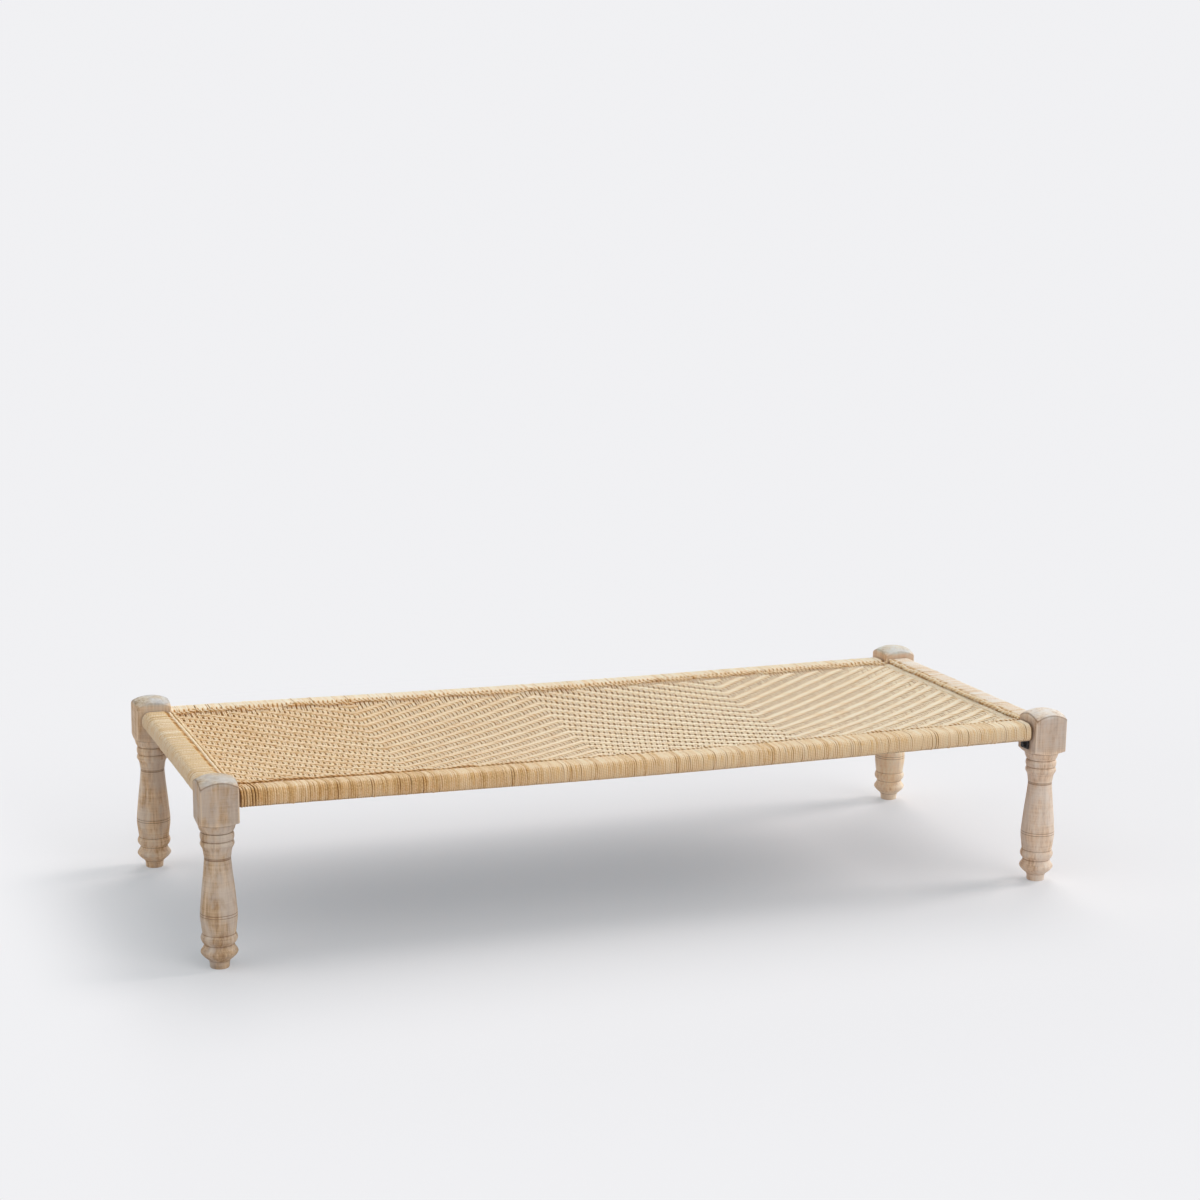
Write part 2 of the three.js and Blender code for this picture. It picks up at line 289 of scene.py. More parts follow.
def attribute(tree, name):
    return node(tree, "ShaderNodeAttribute", attribute_name=name).outputs["Fac"]


def axis_part(tree, source, axis):
    return node(tree, "ShaderNodeSeparateXYZ", Vector=source).outputs[axis]


def noise(tree, place, scale, **settings):
    return node(tree, "ShaderNodeTexNoise", Vector=place, Scale=scale, **settings).outputs["Fac"]


def ramp(tree, source, stops):
    made = node(tree, "ShaderNodeValToRGB", Fac=source)
    elements = made.color_ramp.elements
    while len(elements) < len(stops):
        elements.new(0.5)
    for element, (place, colour) in zip(elements, stops):
        element.position = place
        element.color = (*colour, 1)
    return made.outputs["Color"]


def map_range(tree, source, start, end, low=0.0, high=1.0, kind="SMOOTHSTEP"):
    """The value that goes from low to high while the source goes from start to end."""
    made = node(tree, "ShaderNodeMapRange", interpolation_type=kind, Value=source)
    fill(tree, made, From_Min=start, From_Max=end, To_Min=low, To_Max=high)
    return made.outputs["Result"]


def math_node(tree, operation, first, second=0):
    made = node(tree, "ShaderNodeMath", operation=operation)
    feed(tree, made.inputs, (first, second))
    return made.outputs["Value"]


def plus(tree, first, second):
    return math_node(tree, "ADD", first, second)


def times(tree, first, second):
    return math_node(tree, "MULTIPLY", first, second)


def weighted(tree, *terms):
    """The sum of sources, each times its share."""
    total = 0.0
    for source, share in terms:
        total = plus(tree, total, times(tree, source, share))
    return total


def mix(tree, blend, amount, first, second):
    made = node(tree, "ShaderNodeMix", data_type="RGBA", blend_type=blend)
    feed(tree, (made.inputs[0], made.inputs[6], made.inputs[7]), (amount, first, second))
    return made.outputs[2]


def add_bump(tree, shader, height, strength, distance):
    bump = node(tree, "ShaderNodeBump", Strength=strength, Distance=distance, Height=height)
    fill(tree, shader, Normal=bump.outputs["Normal"])


def straight_view(tree):
    """1 for what is seen itself, in a mirror or through glass, and 0 for light on other things."""
    path = node(tree, "ShaderNodeLightPath")
    seen = math_node(tree, "MAXIMUM", path.outputs["Is Camera Ray"], path.outputs["Is Glossy Ray"])
    return math_node(tree, "MAXIMUM", seen, path.outputs["Is Transmission Ray"])


# Cord's dark, middle and light fibres: tan on its shaded sides, and pale where light is painted on it
TAN_FIBRES = ((0.58, 0.35, 0.15), (0.78, 0.54, 0.29), (0.88, 0.68, 0.43))
PALE_FIBRES = ((0.80, 0.59, 0.34), (0.98, 0.84, 0.63), (1.00, 0.94, 0.80))
FIBRE_PLACES = (0.30, 0.48, 0.68)
# Painted shade: what a cord's colour is multiplied by from its lit crown down into the crevices
CREVICE_STEPS = (
    (0.0, (1, 1, 1)),
    (0.45, (0.96, 0.84, 0.64)),
    (0.75, (0.74, 0.51, 0.28)),
    (1.0, (0.42, 0.22, 0.08)),
)
CORD_PLIES = 2
CORD_LAY = 11 * MM
EDGE_PLY_LAY = 9 * MM
# How much blotches and a cord's tone add to its fibres, and what centres the sum
BLOTCH_SHARE = 0.25
TONE_SHARE = 0.2
BODY_SHIFT = -0.17
# Painted shade in the grooves between plies, and how much the plies and the fibres give to the bump
PLY_GROOVE_SHARE = 0.3
PLY_BUMP_SHARE = 0.7
FIBRE_BUMP_SHARE = 0.6
CORD_BUMP = 0.6 * MM
# How dark the painted shade in the crevices of each kind of cord gets
WEAVE_CREVICE = 1.0
WRAP_CREVICE = 0.95
EDGE_CREVICE = 0.85
UNTINTED = (1.0, 1.0, 1.0)
# Painted light: tints for how the light falls on the short wraps, making their cord cooler
LEFT_WRAP_TINT = (0.94, 0.99, 1.09)
RIGHT_WRAP_TINT = (0.92, 0.95, 1.08)


def ply_wave(tree, lay):
    """A wave that winds along a cord, 1 on the back of each ply and 0 between the plies."""
    uv = node(tree, "ShaderNodeUVMap", uv_map="Lay").outputs["UV"]
    run = math_node(tree, "DIVIDE", axis_part(tree, uv, "X"), lay)
    around = plus(tree, axis_part(tree, uv, "Y"), run)
    wave = math_node(tree, "SINE", times(tree, around, CORD_PLIES * math.pi))
    return math_node(tree, "ABSOLUTE", wave)


def cord_material(name, lay, crevice, tint=UNTINTED):
    """Natural cord: fine fibres, painted shade in the grooves between plies and in the crevices, painted
    light, and a tone for each cord.
    """
    material, tree, shader = new_material(name)
    place = object_place(tree)
    fibre = noise(tree, place, 380.0, Detail=4.0, Roughness=0.7)
    blotch = noise(tree, place, 9.0, Detail=3.0)
    plies = ply_wave(tree, lay)

    body = weighted(tree, (fibre, 1.0), (blotch, BLOTCH_SHARE), (attribute(tree, "tone"), TONE_SHARE))
    body = plus(tree, body, BODY_SHIFT)
    tan = ramp(tree, body, list(zip(FIBRE_PLACES, TAN_FIBRES)))
    pale = ramp(tree, body, list(zip(FIBRE_PLACES, PALE_FIBRES)))
    colour = mix(tree, "MIX", attribute(tree, "painted_light"), tan, pale)
    crease_shade = math_node(tree, "POWER", math_node(tree, "SUBTRACT", 1.0, plies), 3.0)
    colour = mix(tree, "MIX", times(tree, crease_shade, PLY_GROOVE_SHARE), colour, TAN_FIBRES[0])
    shade = ramp(tree, times(tree, attribute(tree, "deep"), crevice), CREVICE_STEPS)
    colour = mix(tree, "MULTIPLY", 1.0, colour, shade)
    colour = mix(tree, "MULTIPLY", 1.0, colour, tint)

    height = weighted(tree, (plies, PLY_BUMP_SHARE), (fibre, FIBRE_BUMP_SHARE))
    add_bump(tree, shader, height, 0.6, CORD_BUMP)
    fill(tree, shader, Base_Color=colour, Roughness=0.85, Specular_IOR_Level=0.05)
    fill(tree, shader, Sheen_Weight=0.03, Sheen_Roughness=0.4, Sheen_Tint=(1.0, 0.93, 0.82))
    return material


# Name, colours of the grain, colour and share of the lime in it, what the head's top and its planed sides
# multiply them by, and where the noise starts
# Each leg has its own copy: lighter or darker for its own tone, and as painted light for how light falls on
# it
WOODS = (
    ("leg_wood_left", ((0.38, 0.23, 0.12), (0.60, 0.43, 0.27), (0.76, 0.60, 0.43)),
     (0.62, 0.57, 0.52), 0.6, (0.89, 0.98, 1.08), (0.90, 0.88, 0.87), 3.1),
    ("leg_wood_right", ((0.57, 0.38, 0.24), (0.83, 0.63, 0.46), (0.95, 0.79, 0.63)),
     (0.85, 0.78, 0.71), 0.6, (0.93, 1.02, 1.11), (0.80, 0.79, 0.79), 7.9),
    ("leg_wood_back_left", ((0.50, 0.30, 0.15), (0.77, 0.56, 0.35), (0.92, 0.74, 0.54)),
     (0.76, 0.70, 0.62), 0.6, (0.72, 0.84, 1.02), (0.90, 0.88, 0.87), 4.7),
    ("leg_wood_back_right", ((0.65, 0.43, 0.24), (0.93, 0.70, 0.46), (0.99, 0.86, 0.64)),
     (0.93, 0.84, 0.71), 0.6, (0.72, 0.84, 1.02), (0.80, 0.71, 0.67), 6.1),
    # The rail wood shows only in the gaps between the wrap's turns, and its dark orange paints the shade
    # there
    ("rail_wood", ((0.16, 0.08, 0.03), (0.26, 0.14, 0.06), (0.36, 0.22, 0.11)),
     (0.4, 0.28, 0.18), 0.1, UNTINTED, UNTINTED, 5.3),
)
GRAIN_PLACES = (0.38, 0.5, 0.62)
# Colour of the painted shade in the leg's grooves and creases and on the head's top edge
CREASE_SHADE_COLOUR = (0.36, 0.24, 0.15)
DIRT_COLOUR = (0.72, 0.60, 0.46)
DIRT_SHARE = 0.45
# Share of the painted highlight on the head's upright corners
LIT_CORNER_SHARE = 0.6
# How much the grain, its streaks and the lathe's rings each give to the wood's colour
GRAIN_SHARE = 0.42
STREAKS_SHARE = 0.38
RING_SHARE = 0.20
WOOD_BUMP = 0.5 * MM
BLACK = (0, 0, 0)
WHITE = (1, 1, 1)


def wood_noise(tree, start, scale, stretch, **settings):
    """Noise stretched along the axes, at a place of its own for each wood."""
    shift = node(tree, "ShaderNodeMapping", Vector=object_place(tree), Scale=stretch)
    fill(tree, shift, Location=(start, start * 0.7, start * 0.3))
    return noise(tree, shift.outputs["Vector"], scale, **settings)


def wood_material(name, grain_colours, lime_colour, lime_share, head_top, planed, start):
    """Turned and limed wood: grain up the leg, lathe rings round it, and patches of grey lime, with painted
    shade in its grooves and creases and a painted highlight on the head's corners.
    """
    material, tree, shader = new_material(name)
    grain = wood_noise(tree, start, 210.0, (1, 1, 0.07), Detail=5.0, Roughness=0.62, Distortion=0.5)
    streak = wood_noise(tree, start, 60.0, (1, 1, 0.12), Detail=3.0, Roughness=0.55, Distortion=0.8)
    ring = wood_noise(tree, start, 520.0, (0.02, 0.02, 1), Detail=2.0)
    patch = wood_noise(tree, start, 26.0, (1, 1, 0.5), Detail=4.0, Roughness=0.6)
    smudge = wood_noise(tree, start, 48.0, (1, 1, 0.6), Detail=3.0, Roughness=0.6)

    body = weighted(tree, (grain, GRAIN_SHARE), (streak, STREAKS_SHARE), (ring, RING_SHARE))
    colour = ramp(tree, body, list(zip(GRAIN_PLACES, grain_colours)))
    lime = ramp(tree, patch, ((0.42, BLACK), (0.60, WHITE)))
    colour = mix(tree, "MIX", times(tree, lime, lime_share), colour, lime_colour)
    dirt = ramp(tree, smudge, ((0.58, BLACK), (0.72, WHITE)))
    colour = mix(tree, "MULTIPLY", times(tree, dirt, DIRT_SHARE), colour, DIRT_COLOUR)
    colour = mix(tree, "MULTIPLY", attribute(tree, "head_top"), colour, head_top)
    colour = mix(tree, "MULTIPLY", attribute(tree, "planed"), colour, planed)
    lit_corner = times(tree, attribute(tree, "lit_corner"), LIT_CORNER_SHARE)
    colour = mix(tree, "MIX", lit_corner, colour, grain_colours[2])
    colour = mix(tree, "MULTIPLY", attribute(tree, "crease_shade"), colour, CREASE_SHADE_COLOUR)

    add_bump(tree, shader, body, 0.4, WOOD_BUMP)
    fill(tree, shader, Base_Color=colour, Roughness=0.62, Specular_IOR_Level=0.3)
    return material


def steel_material():
    material, tree, shader = new_material("blackened_steel")
    scuff = noise(tree, object_place(tree), 300.0, Detail=4.0)
    colour = ramp(tree, scuff, ((0.4, (0.012, 0.012, 0.014)), (0.75, (0.06, 0.06, 0.065))))
    rough = map_range(tree, scuff, 0.0, 1.0, 0.35, 0.6, "LINEAR")
    fill(tree, shader, Base_Color=colour, Roughness=rough, Metallic=0.3)
    return material


weave_cord = cord_material("weave_cord", CORD_LAY, WEAVE_CREVICE)
wrap_cord = cord_material("wrap_cord", CORD_LAY, WRAP_CREVICE)
left_wrap_cord = cord_material("left_wrap_cord", CORD_LAY, WRAP_CREVICE, LEFT_WRAP_TINT)
right_wrap_cord = cord_material("right_wrap_cord", CORD_LAY, WRAP_CREVICE, RIGHT_WRAP_TINT)
edge_cord = cord_material("edge_cord", EDGE_PLY_LAY, EDGE_CREVICE)
left_wood, right_wood, back_left_wood, back_right_wood, rail_wood = (wood_material(*row) for row in WOODS)
steel = steel_material()


def dress(piece, material):
    piece.data.materials.clear()
    piece.data.materials.append(material)


def finish_piece(piece, material, replaced):
    dress(piece, material)
    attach(piece, "root")
    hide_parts(replaced)


def moved_copy(prefix, name, move, material):
    """A moved copy of one of the model's pieces, in its place."""
    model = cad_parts[name]
    piece = add_object(f"{prefix}_{name}", model.data.copy())
    piece.matrix_world = move @ model.matrix_world
    finish_piece(piece, material, name)


# Woven bed: pairs of cords both ways in a chevron twill, three over and three under
BED_PIECES = 4
CORD_RADIUS = 2.05 * MM
CORD_FLAT = 0.85
CORD_SIDES = 6
LONG_PITCH = 8.1 * MM
LONG_PAIR_GAP = 3.8 * MM
LONG_CORD_MARGIN = 13 * MM
# Places along the bed, and the pitch and the gap of the cross pairs there
CROSS_PITCH_AT = (-0.88, -0.49, -0.08, 0.15, 0.40, 0.88)
CROSS_PITCHES = mm(10.3, 10.4, 10.6, 11.1, 10.9, 10.7)
CROSS_PAIR_GAPS = mm(3.7, 3.8, 4.1, 4.4, 4.6, 4.6)
# The cross cords' slope, what is added to it about one place, and how far from the ends they are straight
CROSS_LEAN = 0.047
MIDDLE_LEAN = 0.04
MIDDLE_LEAN_AT = 0.15
MIDDLE_LEAN_WIDTH = 0.2
END_STRAIGHT = 0.15
TWILL = 6
OVER = 3
CHEVRONS = mm(-487, -53, 394)
# Heights over and under the bed's middle, and what the middle one of three crossings adds
LIFT = 1.7 * MM
CROWN = 0.5 * MM
# How much higher the cross cords lie than the long cords at their crowns, from the left chevron on
CROSS_PROUD = 0.5 * MM
PROUD_AT = (-0.52, -0.40)
# Last places of the cords: how far short of the wrap, and their heights there at the low and high end.
# They rise to go under the edge cords, but the long cords go down at the left.
CROSS_ENDS = (mm(9, 2.2, 2.2), mm(5, 3.8, 3.8), mm(1, 4.0, 4.0))
LONG_ENDS = ((4 * MM, -LIFT, 4.5 * MM), (1 * MM, -LIFT, 6.2 * MM))
WANDER = 0.35 * MM
RISE = 0.25 * MM
CORD_TONES = 0.4
# Mean tone of each family of cords, what is added to it at the bed's left end, and where that fades
CROSS_TONE = 1.6
LONG_TONE = 0.95
CROSS_LEFT_TONE = -0.7
LONG_LEFT_TONE = -0.5
LEFT_TONE_SHARES = (1 / 6, 1 / 2)
# Shade on a cord's two sides at the bed's left and right, and where the one turns to the other
CROSS_SIDE_SHADES = (0.6, 1.0)
LONG_SIDE_SHADES = (0.85, 0.35)
SIDE_SHADE_SHARES = (0.2, 0.5)
# Depths below the crowns over which painted shade turns the cord to its crevice colour
CREVICE_DEPTHS = mm(1.0, 3.4)
# Share of painted light on the weave at its left and right ends
PAINTED_LIGHT_LEFT = 0.45
PAINTED_LIGHT_RIGHT = 1.0


def cross_places():
    """Places of the cross pairs along the bed."""
    places = []
    x = -INNER_X + CROSS_PITCHES[0] / 2
    while x < INNER_X - CROSS_PITCHES[-1] / 3:
        places.append(x)
        x += np.interp(x, CROSS_PITCH_AT, CROSS_PITCHES)
    return np.array(places)


def cross_lean(x):
    """The cross cords' slope at x: handmade weave runs a little askew."""
    middle = MIDDLE_LEAN * np.exp(-((x - MIDDLE_LEAN_AT) / MIDDLE_LEAN_WIDTH) ** 2)
    return (CROSS_LEAN + middle) * np.clip((INNER_X - np.abs(x)) / END_STRAIGHT, 0, 1)


def twill_shift(places):
    """How many long pairs the twill has stepped at each cross pair. It turns at each chevron."""
    shift = [0]
    for x in places[1:]:
        zone = sum(x > turn for turn in CHEVRONS)
        shift.append(shift[-1] + (1 if zone % 2 else -1))
    return np.array(shift)


def weave():
    """The crossings: places of the pairs both ways, and the height of the cross pair at each."""
    cross_x = cross_places()
    long_count = int((2 * INNER_Y - LONG_CORD_MARGIN) / LONG_PITCH)
    long_y = (np.arange(long_count) - (long_count - 1) / 2) * LONG_PITCH
    step = (np.arange(long_count)[None, :] - twill_shift(cross_x)[:, None]) % TWILL
    side = np.where(step < OVER, 1, -1)
    inside = np.where((step % OVER) == OVER // 2, 1, -1)
    proud = np.interp(cross_x, PROUD_AT, (0, CROSS_PROUD))
    return cross_x, long_y, side * (LIFT + CROWN * inside) + proud[:, None] * (side > 0)


def between(values):
    """The values with one more between each two."""
    at = np.arange(len(values) * 2 - 1) / 2
    return np.interp(at, np.arange(len(values)), values)


def strand_level(height):
    """Heights of a cord at its crossings and between them: it stays up, or down, between two alike."""
    level = between(height)
    alike = np.sign(height[:-1]) == np.sign(height[1:])
    middle = (height[:-1] + height[1:]) / 2 + np.sign(height[:-1]) * CROWN / 2
    level[1::2] = np.where(alike, middle, level[1::2])
    return level


def strand_paths(runs, places, heights, pair_gaps, reach, ends, along_x, tone, seed):
    """Paths and tones of one family of cords, two to a pair, through all crossings and to both ends.

    runs and places say where each pair's crossings are along it and across it. reach is how far from
    the bed's middle the wraps are."""
    draw = np.random.default_rng(seed)
    out = [reach - short for short, _, _ in ends]
    low_up = [up for _, up, _ in ends]
    high_up = [up for _, _, up in ends]
    paths, tones = [], []
    for i, (along, across, height, pair_gap) in enumerate(zip(runs, places, heights, pair_gaps)):
        lean = ripple(len(along), 14, seed + 7 * i)
        level = np.concatenate([low_up[::-1], strand_level(height), high_up])
        run = np.concatenate([[-away for away in out[::-1]], between(along), out])
        for side in (-1, 1):
            wander = WANDER * (ripple(len(along), 4, seed + 1000 + 2 * i + side) + lean)
            off = between(across + side * pair_gap / 2 + wander)
            off = np.pad(off, len(ends), mode="edge")
            x, y = (run, off) if along_x else (off, run)
            rise = RISE * ripple(len(run), 5, seed + 9000 + 2 * i + side)
            paths.append(np.stack([x, y, BED_MIDDLE - bed_drop(x, y) + level + rise], axis=-1))
            tones.append(draw.normal() * CORD_TONES + tone)
    return np.array(paths), np.array(tones)


def shade_weave(piece, side_shades, left_tone):
    """Paints shade on the cords between the others and on their sides, and more light on them toward the
    right.
    """
    places = vertex_places(piece)
    crown = BED_MIDDLE - bed_drop(places[:, 0], places[:, 1]) + LIFT + CROWN + CORD_RADIUS * CORD_FLAT
    below = share_between(crown - places[:, 2], *CREVICE_DEPTHS)
    share = share_between(places[:, 0], -INNER_X, INNER_X)
    side_shade = np.interp(share, SIDE_SHADE_SHARES, side_shades)
    set_value(piece, "deep", np.maximum(below, side_shade * read_value(piece, "side")))
    set_value(piece, "painted_light", PAINTED_LIGHT_LEFT + (PAINTED_LIGHT_RIGHT - PAINTED_LIGHT_LEFT) * share)
    left = np.interp(share, LEFT_TONE_SHARES, (1, 0))
    set_value(piece, "tone", read_value(piece, "tone") + left_tone * left)


def make_cords(family, paths, tones, side_way, side_shades, left_tone):
    parts = zip(np.array_split(paths, BED_PIECES), np.array_split(tones, BED_PIECES))
    for number, (part, tone) in enumerate(parts, 1):
        name = f"bed_{family}_cords_{number}"
        piece = tubes(name, part, CORD_RADIUS, CORD_SIDES, side_way, tone, CORD_FLAT)
        shade_weave(piece, side_shades, left_tone)
        finish_piece(piece, weave_cord, "woven_bed")


def make_weave():
    cross_x, long_y, up = weave()
    x = cross_x[:, None] + cross_lean(cross_x)[:, None] * long_y[None, :]
    y = np.broadcast_to(long_y, x.shape)
    cross_gaps = np.interp(cross_x, CROSS_PITCH_AT, CROSS_PAIR_GAPS)
    long_gaps = np.full(len(long_y), LONG_PAIR_GAP)
    cross = strand_paths(y, x, up, cross_gaps, INNER_Y, CROSS_ENDS, False, CROSS_TONE, 11)
    long = strand_paths(x.T, y.T, -up.T, long_gaps, INNER_X, LONG_ENDS, True, LONG_TONE, 5011)
    make_cords("cross", *cross, ALONG_X, CROSS_SIDE_SHADES, CROSS_LEFT_TONE)
    make_cords("long", *long, ALONG_Y, LONG_SIDE_SHADES, LONG_LEFT_TONE)


# Rail wraps: close turns of one cord round each rail, pushed up into groups of about six
TURN_PITCH = 4.0 * MM
TURN_RADIUS = 2.4 * MM
TURN_FLAT = 0.68
CORNER_STEPS = 4
WRAP_SIDES = 8
TURNS_PER_GROUP = 6
GROUP_GAP = 1.3 * MM
LOOSE_TURNS = 6
LOOSE_PITCH = 5.7 * MM
# How unevenly turns are spaced, stand out, lean and waver, and the share that stand right out
PITCH_NOISE = 0.12 * MM
PROUD_NOISE = 0.12 * MM
LEAN_NOISE = 1.0 * MM
WAVE_NOISE = 0.25 * MM
PROUD_SHARE = 0.03
PROUD_TURN = 0.7 * MM
# The front wrap's inner edge sinks under the edge cord, most at its left end, and its wood lies lower.
# The back wrap lies lower all along, and the right one rises to its back end.
FRONT_SINK = 2.6 * MM
FRONT_SINK_AT = (-0.55, -0.08)
FRONT_WOOD_DROP = 2.0 * MM
BACK_DROP = 2.8 * MM
RIGHT_RISE = 2.6 * MM
# How level a wrap's surface is where it starts to look like its top, and where it wholly does
TOP_LEVELS = (0.65, 0.92)
TURN_TONES = 0.55
# Painted light from below: how much lighter a long wrap's face gets from its upper edge down
LOW_TONE = 1.2
# Share of a wrap's tone at the right end that its top does without
TOP_WITHOUT = 0.7
STREAK_SHARE = 0.65
# Middle, spread, least and most of what varies along a wrap: the shade on its turns' sides, the streaks,
# the front wrap's shade under the edge cord, and the dashes beside it on the short wraps
SIDE_SHADES = (0.9, 0.6, 0.15, 1.4)
STREAKS = (0.3, 0.9, 0, 1)
RAGGED = (0.6, 0.7, 0, 1)
DASHES = (0.75, 0.45, 0.1, 1)
# How far a wrap leans inward where painted shade starts beside the edge cord, and where it is darkest
BESIDE = {"front": (0.4, 0.7), "back": (0.1, 0.4), "left": (0.10, 0.32), "right": (0.22, 0.36)}
UNDER_CORD = (0.0, 0.2)
# How dark the painted shade on the short wraps gets there
SHORT_SHADES = {"left": 1.2, "right": 0.8}
# The back wrap's painted shade there lies only between each two pairs of cross cords
DOT_PITCH = 10.45 * MM
DOT_SHARE = 0.34
# Share of painted light and tone of a wrap on its top and on its faces, and what its right end adds
Look = namedtuple("Look", "top face right_end")
FRONT_LOOK = Look((0.5, 0.1), (0.0, -0.5), (0.3, 1.8))
BACK_LOOK = Look((1.0, 0.9), (0.1, 0.8), (0, 0))
LEFT_LOOK = Look((1.0, -0.8), (0.2, 1.2), (0, 0))
RIGHT_LOOK = Look((1.0, 0.4), (1.0, 0.4), (0, 0))


def section_points():
    """Places round a wrap, on the middle of its cord, as (across, up) with outward directions."""
    places, outward = [], []
    half_wide = WRAP_WIDTH / 2 - WRAP_RADIUS
    half_tall = WRAP_HEIGHT / 2 - WRAP_RADIUS
    for corner in range(4):
        right = 1 if corner in (0, 3) else -1
        up = 1 if corner < 2 else -1
        middle = np.array([right * half_wide, up * half_tall])
        for step in range(CORNER_STEPS + 1):
            angle = (corner + step / CORNER_STEPS) * math.pi / 2
            way = np.array([math.cos(angle), math.sin(angle)])
            places.append(middle + way * (WRAP_RADIUS - TURN_RADIUS * TURN_FLAT))
            outward.append(way)
    return np.array(places), np.array(outward)


class Coil:
    """The steps of a cord round a rail: each one's turn, place across and up, and outward direction."""

    def __init__(self, span):
        places, outward = section_points()
        self.per_turn = len(places)
        self.turns = int((span - 2 * TURN_RADIUS) / (TURN_PITCH + GROUP_GAP / TURNS_PER_GROUP))
        self.count = self.turns * self.per_turn + 1
        step = np.arange(self.count)
        self.turn = step / self.per_turn
        self.place = places[step % self.per_turn]
        self.way = outward[step % self.per_turn]

    def each(self, values):
        """The turn's own value at each step."""
        return np.repeat(values, self.per_turn)[:self.count]

    def evenly(self, values):
        """Values at each step, changing evenly from one turn's to the next."""
        return np.interp(self.turn, np.arange(self.turns + 1), values)


def turn_starts(turns, span, loose, draw):
    """Where each turn starts along the rail: close turns in groups, after a few loose ones."""
    gaps = np.full(turns, TURN_PITCH) + draw.normal(size=turns) * PITCH_NOISE
    gaps[:loose] = LOOSE_PITCH * draw.uniform(0.85, 1.15, loose)
    here = int(draw.integers(2, TURNS_PER_GROUP))
    while here < turns:
        gaps[here] += GROUP_GAP * draw.uniform(0.5, 1.6)
        here += max(3, int(round(draw.normal() * 1.3 + TURNS_PER_GROUP)))
    starts = np.concatenate([[0], np.cumsum(gaps)])
    return (starts / starts[-1] - 0.5) * (span - 2 * TURN_RADIUS)


def wound_path(coil, span, bow, loose, sink, draw, seed):
    """The cord's places along the rail, across it and up. sink is how far each step sinks at the left."""
    turns = coil.turns
    run = coil.evenly(turn_starts(turns, span, loose, draw))
    proud = ripple(turns + 1, 1.2, seed + 1) * PROUD_NOISE
    stands_out = draw.random(turns + 1) < PROUD_SHARE
    proud = coil.each(proud + stands_out * PROUD_TURN)
    lean = coil.evenly(ripple(turns + 1, 9, seed + 2))
    wave = WAVE_NOISE * ripple(coil.count, coil.per_turn / 3, seed + 4)
    run = run + lean * LEAN_NOISE * coil.place[:, 0] / (WRAP_WIDTH / 2) + wave
    run = np.clip(run, -span / 2 + TURN_RADIUS, span / 2 - TURN_RADIUS)
    out = coil.place + coil.way * proud[:, None]
    return run, out[:, 0], out[:, 1] - bow(run) - sink * np.interp(run, FRONT_SINK_AT, (1, 0))


def turn_colours(coil, look, rightward, along_x, draw):
    """Painted light share and tone per step: random tone by turn, plus light painted by facing and place.
    """
    level = share_between(coil.way[:, 1], *TOP_LEVELS)
    painted_light = look.face[0] + (look.top[0] - look.face[0]) * level + look.right_end[0] * rightward
    downward = (0.5 - coil.place[:, 1] / WRAP_HEIGHT) * (1 - level) * along_x
    tone = coil.evenly(draw.normal(size=coil.turns + 1) * TURN_TONES) + LOW_TONE * downward
    tone = tone + look.face[1] + (look.top[1] - look.face[1]) * level
    return np.clip(painted_light, 0, 1), tone + look.right_end[1] * rightward * (1 - TOP_WITHOUT * level)


def varied(noise_run, middle, spread, least, most):
    return np.clip(middle + spread * noise_run, least, most)


def turn_shade(coil, look, draw, seed):
    """Shade on the sides of each turn, and short dark streaks where some go over the rail's upper edge."""
    turns = coil.turns
    up = coil.way[:, 1]
    sides = np.cos(np.arange(WRAP_SIDES) / WRAP_SIDES * 2 * np.pi) ** 4
    closeness = varied(ripple(coil.count, 4, seed + 6), *SIDE_SHADES)
    streak = (draw.random(turns + 1) < STREAK_SHARE) * draw.uniform(0.5, 1.1, turns + 1)
    streak = coil.each(streak) * varied(ripple(coil.count, 1.5, seed + 5), *STREAKS)
    streak = streak * share_between(up, -0.3, 0.1) * np.clip((1.1 - up) / 0.4, 1 - look.top[0], 1)
    return np.maximum(closeness[:, None] * sides, streak[:, None] * (0.4 + 0.6 * sides))


def beside_shade(side, coil, inward, x, seed):
    """Shade beside the edge cord: whole at the front, with a ragged part where the wrap sinks, in dots
    at the back, and in dashes at the left and right."""
    dark = share_between(inward, *BESIDE[side])
    if side == "front":
        ragged = coil.each(varied(ripple(coil.turns + 1, 1.3, seed), *RAGGED))
        sunk = np.interp(x, FRONT_SINK_AT, (1, 0)) * ragged[:, None]
        return np.maximum(dark, sunk * share_between(inward, *UNDER_CORD))
    if side == "back":
        return dark * (x / DOT_PITCH % 1 < DOT_SHARE)
    dashes = coil.each(varied(ripple(coil.turns + 1, 1.5, seed), *DASHES))
    return dark * dashes[:, None] * SHORT_SHADES[side]


